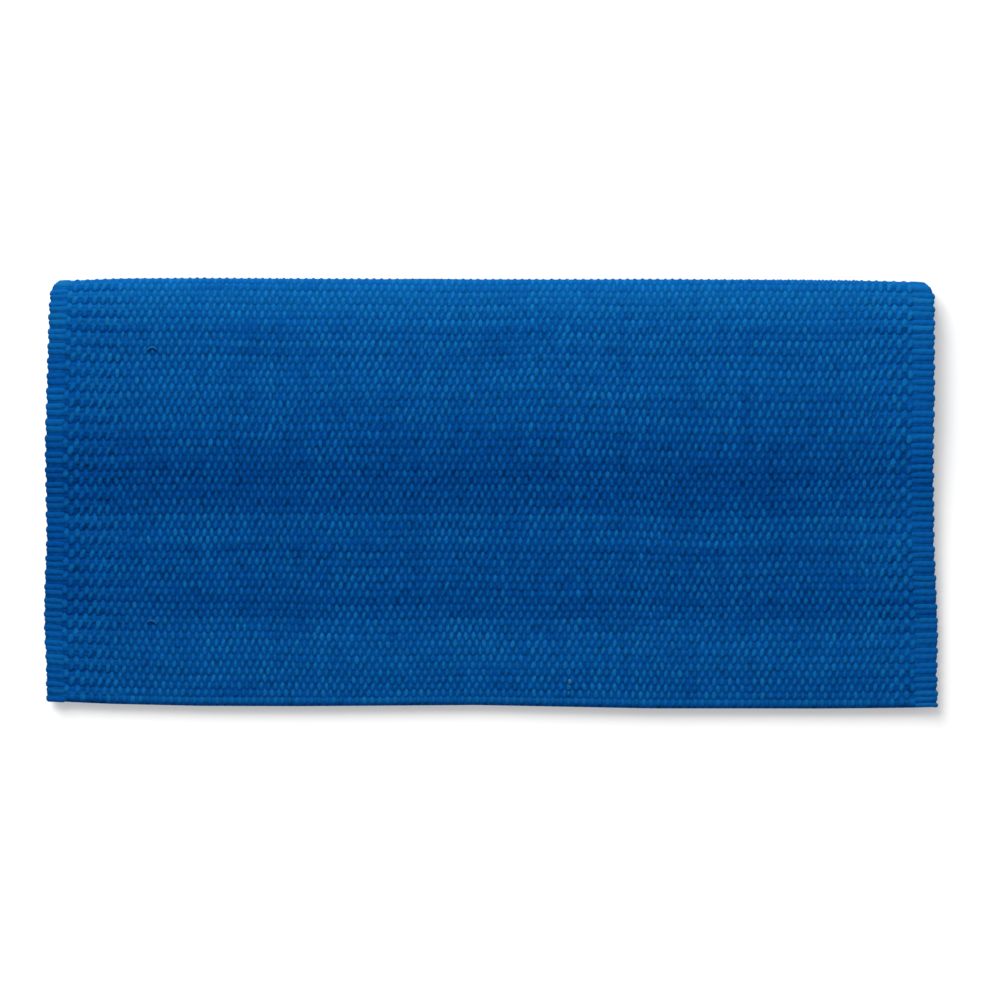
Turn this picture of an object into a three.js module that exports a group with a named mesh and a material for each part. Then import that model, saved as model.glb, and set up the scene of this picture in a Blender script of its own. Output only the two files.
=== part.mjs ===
// Saddle blanket: one thick plain-woven wool sheet, folded in half and lying flat.
// Sizes are millimetres. +X runs along the fold, +Y points from the open hems to the fold, +Z is up.
// The origin is on the resting surface, under the middle of the folded blanket.

import * as THREE from 'three';

// Driving sizes
const FOLDED_DEPTH = 440;
const CLOTH_THICKNESS = 8;
const LAYER_GAP = 1.6;
const PICKS = 115;
const SELVEDGE_LEFT = 19.5;
const SELVEDGE_RIGHT = 24;
const BLUE_WOOL = 0x0a4c8c;

// The fold, along the middle of the cloth: an elliptical nose that leaves with a rising slope
const NOSE_REACH = 15;
const NOSE_RISE = 20.4;
const NOSE_TOP_SLOPE = 0.25;
const CORNER_RADIUS = { left: 10, right: 12 };

// The upper layer behind the nose, down to its hem: distance from the fold, height of the cloth's
// middle, and slope towards the hem. It is puffed up near the fold and sinks on to the lower layer.
const HEM_HEIGHT = CLOTH_THICKNESS * 1.5 + LAYER_GAP;
const UPPER_LAYER = [
  { place: 'crown', fromFold: 70, height: 28, slope: 0 },
  { place: 'shoulder', fromFold: 140, height: 26.8, slope: -0.045 },
  { place: 'steepest', fromFold: 200, height: 22.3, slope: -0.1 },
  { place: 'easing', fromFold: 250, height: 18.4, slope: -0.055 },
  { place: 'last slope', fromFold: 325, height: 14.4, slope: -0.055 },
  { place: 'foot', fromFold: 362, height: 13.3, slope: 0 },
  { place: 'swell', fromFold: 402, height: 13.9, slope: 0 },
  { place: 'hem', fromFold: FOLDED_DEPTH, height: HEM_HEIGHT, slope: 0 },
];

// Side lines: how far each selvedge stands from the middle, from the fold to the hem
const SIDE_LINES = [
  { fromFold: 0, left: 455, right: 455.6 },
  { fromFold: 40, left: 457.5, right: 455.6 },
  { fromFold: 120, left: 458.4, right: 455.8 },
  { fromFold: 180, left: 460, right: 455.2 },
  { fromFold: 270, left: 458.8, right: 457 },
  { fromFold: 330, left: 460.9, right: 459.2 },
  { fromFold: 362, left: 461, right: 461 },
  { fromFold: 400, left: 459, right: 459.4 },
  { fromFold: FOLDED_DEPTH, left: 458.2, right: 460.4 },
];

// Hem line: how much shorter than the folded depth the cloth is, from left to right
const HEM_LINE = [
  { across: -458, short: 6.3 },
  { across: -435, short: 3.6 },
  { across: -350, short: 1.4 },
  { across: -228, short: 1 },
  { across: 0, short: 1.4 },
  { across: 228, short: -0.6 },
  { across: 433, short: 1.6 },
  { across: 459, short: 4.3 },
];
const LOWER_HEM_SHORT = 3;

// Gentle unevenness of the upper layer: wavelength across and along, height and phase of each swell
const SWELLS = [
  { across: 330, along: 900, height: 0.3, phase: 0.6 },
  { across: 1300, along: 150, height: 0.25, phase: 2.1 },
];

// Relief, measured into the cloth: troughs between selvedge ribs, deeper ones where the weft turns,
// troughs between weft rows, and the nicks between the turns of the weft at the edges
const RIB_DEPTH = 0.6;
const PAIR_DEPTH = 1.5;
const WEFT_ROW_DEPTH = 0.5;
const SCALLOP_DEPTH = 1.7;

// The relief repeats over a pair of weft rows, with a crest and a trough in each
const BEATS_PER_PAIR = 4;

// Columns of points from the tip of an edge inwards: place as a share of the selvedge's width, how
// full the cloth is, and how far it follows the selvedge ribs, the weft rows and the scalloped tip
const EDGE_COLUMNS = [
  { place: 'turn', share: 0.07, full: 0.74, ribs: 0.5, rows: 0, scallop: 1 },
  { place: 'outer rib end', share: 0.26, full: 1, ribs: 1, rows: 0, scallop: 0.4 },
  { place: 'inner rib end', share: 0.86, full: 0.97, ribs: 1, rows: 0, scallop: 0, outerOnly: true },
  { place: 'groove', share: 1.02, full: 0.76, ribs: 0.3, rows: 0, scallop: 0 },
  { place: 'field', share: 1.22, full: 1, ribs: 0, rows: 1, scallop: 0 },
];
const TIP = { place: 'tip', share: 0, full: 0, ribs: 0, rows: 0, scallop: 1 };
const FIELD_COLUMN = { place: 'field', full: 1, ribs: 0, rows: 1 };
const FIELD_ACROSS = { outer: [-228, 0, 228], inner: [0] };

// Rounding of the two hems: how full the cloth is at its end and just behind it
const HEM_ROUNDING = [
  { inset: 0, full: 0.42 },
  { inset: 1.5, full: 0.86 },
];

const { lerp, clamp, smoothstep } = THREE.MathUtils;

// Straight-line reading of a short table at one place
function readTable(rows, key, place, value) {
  const after = rows.findIndex((row) => row[key] >= place);
  if (after === -1) return rows[rows.length - 1][value];
  if (after === 0) return rows[0][value];
  const [from, to] = [rows[after - 1], rows[after]];
  return lerp(from[value], to[value], (place - from[key]) / (to[key] - from[key]));
}

// The middle of the cloth seen from the side, from the lower hem round the fold to the upper hem.
// The curve's x is the blanket's Y and its y is the blanket's Z.
function foldedSection() {
  const front = FOLDED_DEPTH / 2;
  const restHeight = CLOTH_THICKNESS / 2;
  const noseCentre = new THREE.Vector2(front - restHeight - NOSE_REACH, restHeight + NOSE_RISE / 2);
  const noseTop = Math.atan2(NOSE_RISE / 2, NOSE_TOP_SLOPE * NOSE_REACH);
  const nose = new THREE.EllipseCurve(
    noseCentre.x, noseCentre.y, NOSE_REACH, NOSE_RISE / 2, -Math.PI / 2, noseTop,
  );
  const lowerHem = new THREE.Vector2(LOWER_HEM_SHORT - front, restHeight);
  const section = new THREE.CurvePath();
  section.add(new THREE.LineCurve(lowerHem, nose.getPoint(0)));
  section.add(nose);
  const noseEnd = nose.getPoint(1);
  const start = { fromFold: front - noseEnd.x, height: noseEnd.y, slope: NOSE_TOP_SLOPE };
  const places = [start, ...UPPER_LAYER];
  for (let i = 1; i < places.length; i += 1) {
    section.add(easedSpan(places[i - 1], places[i]));
  }
  return section;
}

// One span of the upper layer, leaving and arriving at its two slopes
function easedSpan(from, to) {
  const front = FOLDED_DEPTH / 2;
  const third = (to.fromFold - from.fromFold) / 3;
  return new THREE.CubicBezierCurve(
    new THREE.Vector2(front - from.fromFold, from.height),
    new THREE.Vector2(front - from.fromFold - third, from.height + from.slope * third),
    new THREE.Vector2(front - to.fromFold + third, to.height - to.slope * third),
    new THREE.Vector2(front - to.fromFold, to.height),
  );
}

// Rows of points along the cloth: two for each weft row, a crest and a trough, and the rounded hems
function rowsAlong(length) {
  const step = length / (PICKS * 2);
  const rows = [];
  for (let i = 1; i < PICKS * 2; i += 1) {
    rows.push({ along: i * step, full: 1, beat: i });
  }
  for (const { inset, full } of [...HEM_ROUNDING].reverse()) {
    rows.unshift({ along: inset, full, beat: 1 });
    rows.push({ along: length - inset, full, beat: 1 });
  }
  return rows;
}

// Beats since the weft last turned round an edge. It turns once for each pair of rows, side by side.
function beatsFromTurn(beat, side) {
  const shift = side === 'left' ? 0 : BEATS_PER_PAIR / 2;
  return (beat + shift) % BEATS_PER_PAIR;
}

// Depth of the selvedge ribs: a deep trough where the weft turns and a shallow one between two turns
function ribTrough(beat, side) {
  if (beat % 2 === 1) return 0;
  return beatsFromTurn(beat, side) === 0 ? PAIR_DEPTH : RIB_DEPTH;
}

// The edge stands out at each turn of the weft and is nicked between two turns
function scallopInset(beat, side) {
  const nick = 0.5 - 0.5 * Math.cos((beatsFromTurn(beat, side) / BEATS_PER_PAIR) * Math.PI * 2);
  return SCALLOP_DEPTH * nick ** 2;
}

// How far the fold's end is drawn in, which rounds the corner of the folded blanket seen from above
function cornerInset(behindNose, radius) {
  if (behindNose >= radius) return 0;
  return radius - Math.sqrt(radius ** 2 - (radius - behindNose) ** 2);
}

// Where one column of an edge stands across the blanket
function edgeAcross(column, row, place, side) {
  const selvedge = side === 'left' ? SELVEDGE_LEFT : SELVEDGE_RIGHT;
  const fieldShare = EDGE_COLUMNS[EDGE_COLUMNS.length - 1].share;
  const behindNose = Math.max(0, FOLDED_DEPTH / 2 - CLOTH_THICKNESS / 2 - place.y);
  const drawnIn = cornerInset(behindNose, CORNER_RADIUS[side]) * (1 - column.share / fieldShare);
  const reach = readTable(SIDE_LINES, 'fromFold', FOLDED_DEPTH / 2 - place.y, side);
  const fromMiddle = reach - drawnIn - column.share * selvedge
    - column.scallop * scallopInset(row.beat, side);
  return side === 'left' ? -fromMiddle : fromMiddle;
}

// The columns of one face, from the left tip to the right tip
function faceColumns(face) {
  const kept = EDGE_COLUMNS.filter((column) => face === 'outer' || !column.outerOnly);
  const left = kept.map((column) => ({ column, side: 'left' }));
  const right = kept.map((column) => ({ column, side: 'right' })).reverse();
  const field = FIELD_ACROSS[face].map((across) => ({ column: FIELD_COLUMN, across }));
  return [...left, ...field, ...right].map((entry) => ({ ...entry, face }));
}

// One point of the cloth's surface
function surfacePoint({ column, side, across, face }, row, place, outward) {
  const x = side ? edgeAcross(column, row, place, side) : across;
  const raised = smoothstep(place.z, CLOTH_THICKNESS / 2, CLOTH_THICKNESS / 2 + NOSE_RISE / 2);
  const weftRows = face === 'outer' && row.beat % 2 === 0 ? WEFT_ROW_DEPTH * raised : 0;
  const relief = column.ribs * ribTrough(row.beat, side) + column.rows * weftRows;
  const half = (CLOTH_THICKNESS / 2) * column.full * row.full - (column.full > 0 ? relief : 0);
  const offset = face === 'outer' ? half : -half;
  const hemShare = clamp((-place.y) / (FOLDED_DEPTH / 2), 0, 1);
  const shortened = hemShare * readTable(HEM_LINE, 'across', x, 'short');
  let swell = 0;
  for (const wave of SWELLS) {
    const angle = (x / wave.across + place.y / wave.along) * Math.PI * 2 + wave.phase;
    swell += wave.height * raised * Math.sin(angle);
  }
  return new THREE.Vector3(
    x,
    place.y + shortened + outward.y * offset,
    place.z + swell + outward.z * offset,
  );
}

// The outer and the inner points of the row that begins at one index, both from tip to tip
function hemChains(start, outerCount, size) {
  const rightTip = outerCount + 1;
  const outer = [];
  for (let k = 0; k <= rightTip; k += 1) outer.push(start + k);
  const inner = [start];
  for (let k = size - 1; k >= rightTip; k -= 1) inner.push(start + k);
  return { outer, inner };
}

// Triangles that close a hem, between its outer and its inner points
function hemFaces({ outer, inner }, points) {
  const faces = [];
  let [o, i] = [0, 0];
  while (o + i < outer.length + inner.length - 2) {
    const outerNext = points[outer[o + 1]]?.x ?? Infinity;
    const innerNext = points[inner[i + 1]]?.x ?? Infinity;
    if (outerNext <= innerNext) {
      faces.push([outer[o], outer[o + 1], inner[i]]);
      o += 1;
    } else {
      faces.push([outer[o], inner[i + 1], inner[i]]);
      i += 1;
    }
  }
  return faces.filter(([a, b, c]) => a !== b && b !== c && c !== a);
}

// The whole folded blanket as one closed skin: a ring of points round each row, joined row to row
function blanketGeometry() {
  const section = foldedSection();
  const length = section.getLength();
  const rows = rowsAlong(length);
  const tips = ['left', 'right'].map((side) => ({ column: TIP, side, face: 'outer' }));
  const outerFace = faceColumns('outer');
  const innerFace = faceColumns('inner').reverse();
  const ring = [tips[0], ...outerFace, tips[1], ...innerFace];
  const points = [];
  for (const row of rows) {
    const at = row.along / length;
    const middle = section.getPoint(at);
    const heading = section.getTangent(at);
    const place = { y: middle.x, z: middle.y };
    const outward = { y: heading.y, z: -heading.x };
    for (const entry of ring) {
      points.push(surfacePoint(entry, row, place, outward));
    }
  }
  const size = ring.length;
  const faces = [];
  for (let start = 0; start < (rows.length - 1) * size; start += size) {
    for (let k = 0; k < size; k += 1) {
      const [here, next] = [start + k, start + ((k + 1) % size)];
      faces.push([here, here + size, next + size], [here, next + size, next]);
    }
  }
  const lastRow = (rows.length - 1) * size;
  faces.push(...hemFaces(hemChains(0, outerFace.length, size), points));
  faces.push(...hemFaces(hemChains(lastRow, outerFace.length, size), points).map(([a, b, c]) => [a, c, b]));
  const geometry = new THREE.BufferGeometry();
  const coordinates = points.flatMap((point) => point.toArray());
  geometry.setAttribute('position', new THREE.Float32BufferAttribute(coordinates, 3));
  geometry.setIndex(faces.flat());
  geometry.computeVertexNormals();
  return geometry;
}

const wool = new THREE.MeshStandardMaterial({ color: BLUE_WOOL, roughness: 0.95, metalness: 0 });
const blanket = new THREE.Mesh(blanketGeometry(), wool);
blanket.name = 'blanket';

// The uneven outline is centred over the origin, and its underside lies on the resting surface
const extent = new THREE.Box3().setFromObject(blanket);
const middle = extent.getCenter(new THREE.Vector3());
blanket.position.set(-middle.x, -middle.y, -extent.min.z);

const saddleBlanket = new THREE.Group();
saddleBlanket.add(blanket);
saddleBlanket.updateMatrixWorld(true);

export default saddleBlanket;
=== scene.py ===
"""Saddle blanket: one thick plain-woven wool sheet, folded in half and lying flat.

+X runs along the fold, +Y points from the open hems to the fold and +Z is up. The cloth is followed along
its length, from the lower hem round the fold to the upper hem, across its width from the left edge to the
right one, and in height above the middle of its thickness, which is positive on the outer face. Tables and
shape functions are in millimetres, and MM turns them into metres when a piece is made.
"""

import math

import bpy
import numpy as np
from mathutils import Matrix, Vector


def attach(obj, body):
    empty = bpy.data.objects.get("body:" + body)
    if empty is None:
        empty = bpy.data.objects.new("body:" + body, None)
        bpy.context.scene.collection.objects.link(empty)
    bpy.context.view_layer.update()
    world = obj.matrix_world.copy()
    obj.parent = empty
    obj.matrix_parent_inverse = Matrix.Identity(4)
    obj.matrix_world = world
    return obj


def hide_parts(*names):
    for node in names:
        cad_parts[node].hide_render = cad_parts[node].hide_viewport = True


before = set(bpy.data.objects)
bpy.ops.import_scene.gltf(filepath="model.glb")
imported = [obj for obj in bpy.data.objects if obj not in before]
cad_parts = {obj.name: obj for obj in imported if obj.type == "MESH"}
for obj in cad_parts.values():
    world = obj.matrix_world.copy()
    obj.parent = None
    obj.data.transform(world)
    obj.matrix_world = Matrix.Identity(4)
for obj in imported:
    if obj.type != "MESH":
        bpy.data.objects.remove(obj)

bl_info = {
    "name": "Saddle Blanket",
    "version": (1, 0, 0),
    "blender": (4, 5, 0),
    "location": "View3D > Sidebar > Saddle Blanket",
    "description": "Weaves a folded wool saddle blanket yarn by yarn and sets the stage for it",
    "category": "Object",
}

MM = 0.001
NODE = "blanket"
OUTER_FLOATS = ("warp_floats_under", "warp_floats_fold", "warp_floats_upper")
ON_THE_GROUND_CLOTH = (*OUTER_FLOATS, "warp_floats_inside", "selvedge_ribs", "hem_loops", "loose_fibres")
SIDES = {"left": -1, "right": 1}

# The folded shape. The middle line and the height are the solid's, and the side, hem and fold lines below
# follow the photo a few millimetres more closely than the solid does.
NOMINAL_WIDTH = 917
EDGE = NOMINAL_WIDTH / 2
SELVEDGE = {"left": 19.5, "right": 24}
CORNER_RADIUS = {"left": 10, "right": 12}
CORNER_SHARE = 1.22
NOSE_REACH = 15
NOSE_RISE = 20.4
NOSE_TOP_SLOPE = 0.25
LOWER_HEM_SHORT = 3
LOWER_POINTS = 200
NOSE_POINTS = 120
STRETCH_POINTS = 40
LINE_POINTS = 3000

# The solid's uneven outline is centred over the origin, which moves the cloth by this much
CENTRING = (0.03, 0.495)

# Upper layer: distance from the fold, height of the cloth's middle, slope towards the hem
UPPER_LAYER = (
    (70, 28, 0), (140, 26.8, -0.045), (200, 22.3, -0.1), (250, 18.4, -0.055),
    (325, 14.4, -0.055), (362, 13.3, 0), (402, 13.9, 0), (440, 13.6, 0),
)

# Side lines: distance from the fold, then how far the left and the right edge stand from the middle
SIDE_LINES = (
    (0, 455, 456.2), (40, 456.4, 456.4), (120, 458.4, 456.6), (180, 460, 456.2), (270, 458.8, 458),
    (330, 460.9, 461), (362, 461, 462.6), (400, 459, 461.8), (440, 458.2, 462.6),
)

# Hem line: place across, and how much shorter than the folded depth the cloth is there
HEM_LINE = (
    (-458, 3), (-435, 0.8), (-392, -0.9), (-300, -2.6), (-196, -2.4), (-11, -0.4),
    (100, -2), (164, -3), (344, -2.3), (391, -1.7), (433, -1), (459, -0.2),
)

# Fold line: place across, and how far the fold is drawn in there
FOLD_LINE = (
    (-458, 5), (-446, 3.8), (-425, 2.3), (-392, 0.8), (-300, -0.4), (0, -0.4),
    (164, -1.6), (344, -1.5), (391, -0.9), (432, 0.1), (456, 1.8),
)
FOLD_LINE_REACH = 40

# Swells of the upper layer: wavelength across and along, height, phase
SWELLS = ((330, 900, 0.3, 0.6), (1300, 150, 0.25, 2.1))

# Distance from the fold, and from one weft row to the next
PICK_PITCH = (
    (0, 7.3), (22, 6.9), (59, 7.5), (133, 8), (154, 8.6), (182, 8), (203, 7.3),
    (250, 8.1), (285, 7.5), (322, 7.6), (343, 7.05), (368, 7.8), (405, 7.15), (440, 7.2),
)

# Place across, and from one warp yarn to the next. The yarns beside the selvedges are thicker.
WARP_PITCH = (
    (-437, 5.9), (-427, 5.3), (-414, 4.5), (-396, 4.15), (-344, 3.97), (-283, 3.86), (-221, 3.62),
    (-159, 3.93), (-97, 3.96), (-35, 3.72), (26, 3.9), (88, 4.08), (150, 3.66), (212, 3.88),
    (273, 4.26), (335, 3.93), (397, 4), (410, 4.5), (421, 5.4), (431, 6.2),
)

# Insets from a hem of the last weft row and the last rib, and from a selvedge of the first warp yarn
HEM_PICK_INSET = 6.6
HEM_RIB_INSET = 3.5
FIRST_WARP_INSET = 2.6

# Seeded unevenness: height, shortest and longest wave, number of waves
DRIFT_ALONG = (0.9, 90, 420, 11)
DRIFT_ACROSS = (0.7, 70, 380, 11)
STREAKS = (1, 45, 260, 17)
PATCHES = (1, 30, 160, 23)

# Each weft row's streaks of shade are read at its own place in this stretch. The streaks that lift or sink
# the yarns are shorter along the cloth.
STREAK_STRETCH = 5000
STREAKS_SHORTER = 4

# Where the yarns' drift starts and is full
DRIFT_FROM_EDGE = (20, 60)
DRIFT_FROM_HEM = (3, 30)

# Added to the seed, so that each piece draws its own numbers
SEED_STEPS = {"first_row": 10, "inside": 5, "left": 31, "right": 47, "lower": 83, "upper": 61}

# Beside a selvedge the weft rows lie in pairs: where that starts and is full, how much weaker it is beside
# the ribs and where it recovers, its strength, and the rows' shift to each other
PAIRS_FROM_EDGE = (78, 66)
PAIRS_WEAKER = 0.2
PAIRS_RECOVER = (26, 46)
PAIR_STRENGTH = {"left": 1, "right": 0.7}
PAIR_SHIFT = 0.8

# Distance from the fold, and how light the weft rows are there: partly painted light, lighter on the rounded
# fold and darker where the upper layer slopes down towards the hem, and partly lighter and darker bands of
# wool
PAINTED_LIGHT_AND_WOOL_BANDS = (
    (0, 1.18), (10, 1.16), (40, 1.15), (58, 1.15), (75, 1.06), (158, 1.06), (167, 0.97),
    (198, 0.96), (205, 0.9), (226, 0.915), (238, 0.975), (345, 0.99), (355, 1.06), (440, 1.07),
)

# A lighter place beside the right selvedge: how much lighter, distance from the fold and half length, and
# where it starts and is full across
LIGHTER = 0.09
LIGHTER_PLACE = (235, 95)
LIGHTER_ACROSS = (300, 420)

# How much the wool's shade varies
TINTS = {"pick": 0.034, "streak": 0.03, "patch": 0.012, "warp": 0.023, "ground": 0.03}

# Yarn coordinates: millimetres in one unit, and how many units chance shifts a yarn's start by
YARN_UNIT = 4
YARN_SHIFT = 9

# One warp float: place along it as a share of its half length, how wide and how high it is there
FLOAT_STATIONS = ((-0.56, 0.8, 0.5), (-0.24, 1, 0.94), (0.24, 1, 0.94), (0.56, 0.8, 0.5))
FLOAT_SECTION = ((-1, 0), (-0.74, 0.66), (0, 1), (0.74, 0.66), (1, 0))
FLOAT_SPREAD = {
    "length": 0.035,
    "width": 0.06,
    "lean": 0.09,
    "depth": 0.16,
    "along": 0.16,
    "across": 0.15,
    "shade": 0.038,
}

# Floats of a pair of weft rows, floats in a band beside a selvedge, and how deep floats sink
PAIR_LONGER = 0.08
SECOND_LONGER = 0.12
FIRST_WIDER = 0.04
SECOND_LEANS = 0.2
SIDE_BAND = (62, 18)
SIDE_NARROWER = 0.08
SUNK_BY_ROW = 0.1
SUNK_IN_STREAK = 0.1
STRONG_STREAK = 1.1
MOST_SUNK = 0.7

# How far in from an edge the inner face can be seen, and so has floats
SEEN_INSIDE = 95

# One selvedge rib from the groove to the tip: share of the selvedge's width and extra inset from the edge,
# height of the yarn's middle, how full it is
RIB_PATH = (
    (1, 2.6, 0.5, 0.45),
    (1, -1.2, 1.8, 0.94),
    (0.62, 0, 2.05, 1),
    (0.3, 0, 2.05, 1),
    (0, 4, 2, 1),
    (0, 2.7, 1.35, 0.98),
    (0, 2.2, 0, 0.96),
)
RIB_POINTS = 8
RIB_HALF_HEIGHT = 1.95
RIB_SPREAD = {"width": 0.03, "pull": 0.2, "bend": 0.35, "nick": 0.15, "height": 0.05, "shade": 0.05}

# Shift of the ribs from their weft row and half width, both in rows, insets where the tip starts and is full,
# how far the two ribs of a turn draw together, their tips more, and how far every second tip stands back
RIB_SHIFT = {"left": 0.5, "right": -0.27}
RIB_HALF_WIDTH = 0.49
RIB_TIP = (9, 2.5)
RIB_PULL = 0.42
TIP_PULL = 0.5
TIP_NICK = 0.8
RIB_SHADE = 0.88

# Near the fold the ribs have less painted shade at their sides
NEAR_FOLD = (34, 6)
LESS_PAINTED_SHADE = 0.55

# One warp yarn round a hem: inset from the hem's end, height of the yarn's middle, how full it is
HEM_PATH = (
    (9.6, 1.4, 0.5),
    (8.3, 2.1, 0.9),
    (5.4, 2.25, 1),
    (3.2, 1.7, 0.95),
    (1.9, 0.8, 0.9),
    (1.7, 0, 0.85),
)
HEM_POINTS = 6
HEM_HALF_HEIGHT = 1.6
HEM_SPREAD = {"width": 0.06, "across": 0.2, "height": 0.03, "shade": 0.05}

# Half width of the hem yarns in warp spacings, their shade, and insets where they are in full painted shade
# round the hem's end and where they are free of it
HEM_HALF_WIDTH = 0.72
HEM_SHADE = 0.99
HEM_PAINTED_SHADE = (2.4, 5.4)

# Rows of the ground cloth at a hem: inset, ridge from 0 in a trough to 1 on a weft row, how full it is.
# Its rows between two weft rows: share of the way, ridge.
GROUND_AT_HEM = ((0.6, 0, 0.18), (1.6, 0, 0.6), (3.6, 0.5, 0.92))
GROUND_BETWEEN = ((0.27, 0.68), (0.5, 0), (0.73, 0.68))

# Its columns: insets of the tips and beside them, the field's margin, columns and step to the next column
# outside it. Beyond the thin edge only a share of the thickness is left.
GROUND_TIP = 2.4
BESIDE_TIP = (3, 5)
FIELD_MARGIN = 1
FIELD_COLUMNS = 38
FIELD_STEP = 3
THIN_EDGE = 4
THIN_SHARE = 0.55

# Its level: depth of the troughs, how much pairs of rows fill or deepen them, level under the ribs, and how
# much the ridges rise round the fold and in a streak
GROUND_TROUGH = 0.1
PAIR_FILLS = 0.5
UNDER_THE_RIBS = 2.95
FOLD_LIFT = 0.5
FOLD_LIFT_REACH = 16
STREAK_LIFT = 0.45
LIFTING_STREAK = 0.4

# Its painted light, from 0 in painted shade deep between the yarns to 1 on their tops: round the fold,
# between the rows of a pair, at a hem with where that starts and ends, and under the ribs. Pairs also paint
# the trough within a pair lighter and the one between pairs darker, as painted light and shade.
FOLD_LIGHT = 0.4
PAIR_LIGHT = 0.12
HEM_LIGHT = 0.5
HEM_LIGHT_START = (3, 5)
HEM_LIGHT_END = (10.5, 8)
RIB_LIGHT = 0.2
PAIR_PAINTED_SHADE = 0.2

# Its finish: millimetres along the cloth in one unit, and how many chance numbers its rows share
GROUND_UNIT = 7.6
GROUND_CHANCES = 7

# Loose fibres seen in the photo: place across, place from the middle to the fold, reach across, rise,
# thickness, turn in degrees, paleness
LOOSE_FIBRES = (
    (80.4, -195.6, 1, 3.4, 3, 4, 1),
    (78.4, -207.6, 0.9, 3.4, 2, -8, -0.25),
    (-349.4, 143, 9.6, 3.8, 2.2, 4, -0.6),
    (-347.2, -136.4, 9, 3.4, 2, -8, -0.6),
)

# How deep the fibres' ends sit, how high they arch, how thick their ends are, the angle in one unit round
# them, and where the upper face starts, past the middle of the fold
FIBRE_POINTS = 6
FIBRE_RINGS = 13
FIBRE_SUNK = 0.3
FIBRE_ARCH = 0.8
FIBRE_TIP = 0.35
FIBRE_UNIT = 7
PAST_FOLD = 20

# One kind of yarn: depth of its twisted plies and of its fibres, and turns of its twist in one unit
YARN_RELIEF = {
    "warp": (0.25, 0.5, 0.75),
    "weft": (0.25, 0.5, 0.5),
    "selvedge": (0.3, 0.6, 0.45),
    "loose": (0.1, 0.8, 0.6),
}

# Scale of the fibres' noise along and round a yarn, and from one yarn to the next
FIBRES_ALONG = 1.3
FIBRES_ROUND = 3.2
FIBRES_APART = 40

# Factor and offset from a yarn's shade, its painted light included, to its share of the greener second dye,
# what chance adds to that, how much lighter yarns lift the painted shade in their hollows, and factor and
# offset from a noise to the painted pits of deeper shade in the hollows
SECOND_DYE_BY_TONE_AND_LIGHT = (2.2, -1.95)
DYE_CHANCE = 0.5
LIGHT_IN_PAINTED_HOLLOWS = 0.6
PAINTED_PITS = (5.0, -2.5)

# Stage, in metres: place and size of the two lights, half the floor's width, its grey and its glow
KEY_LIGHT = ((-0.2, 2.4, 1.95), (2.0, 1.0))
FLOOR_LIGHT = ((-3.1, 4.9, 5.4), (5.0, 6.0))
FLOOR_REACH = 4
FLOOR_GREY = (0.6, 0.6, 0.6, 1)
FLOOR_GLOW = 0.28
WHITE = (1, 1, 1, 1)

# Size of the picture and place of the origin in it, in pixels, and the height at which they are measured
PICTURE = 1000
SEEN_AT = (490.9, 492.4)
CLOTH_HEIGHT = 0.018


def eased(start, end, value):
    """0 up to the start, 1 from the end on and smooth between them. Either may be the larger."""
    share = np.clip((value - start) / (end - start), 0, 1)
    return share * share * (3 - 2 * share)


def mound(value, middle, reach):
    """1 in the middle, with a fall to both sides over the reach."""
    return np.exp(-(((value - middle) / reach) ** 2))


def read_table(rows, places, column=1):
    """Straight-line reading of one column of a table at the places in its first column."""
    table = np.array(rows, dtype=float)
    return np.interp(places, table[:, 0], table[:, column])


def together(*values):
    """The values side by side in a new last axis, each spread to the shape of them all."""
    return np.stack(np.broadcast_arrays(*values), axis=-1)


def from_edge(across):
    """Distance from the nearer side edge."""
    return EDGE - np.abs(across)


def spaced(start, end, pitch):
    """Places from start to end with the pitch that holds at each, evened out to finish at the end."""
    places = [start]
    while places[-1] < end:
        places.append(places[-1] + float(pitch(places[-1])))
    places = np.array(places)
    return start + (places - start) * (end - start) / (places[-1] - start)


def unevenness(chance, height, shortest, longest, waves):
    """A smooth seeded unevenness over the cloth, as a function of the places along and across it."""
    turns = chance.uniform(0, math.pi, waves)
    lengths = chance.uniform(shortest, longest, waves)
    phases = chance.uniform(0, 2 * math.pi, waves)

    def at(along, across):
        total = 0
        for turn, length, phase in zip(turns, lengths, phases):
            way = along * math.cos(turn) + across * math.sin(turn)
            total = total + np.sin(2 * math.pi * way / length + phase)
        return height * total / math.sqrt(waves / 2)

    return at


def jitters(chance, spreads, shape):
    """A function that draws unevenness of a named spread, one number for each yarn."""
    return lambda name: chance.normal(0, spreads[name], shape)


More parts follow.
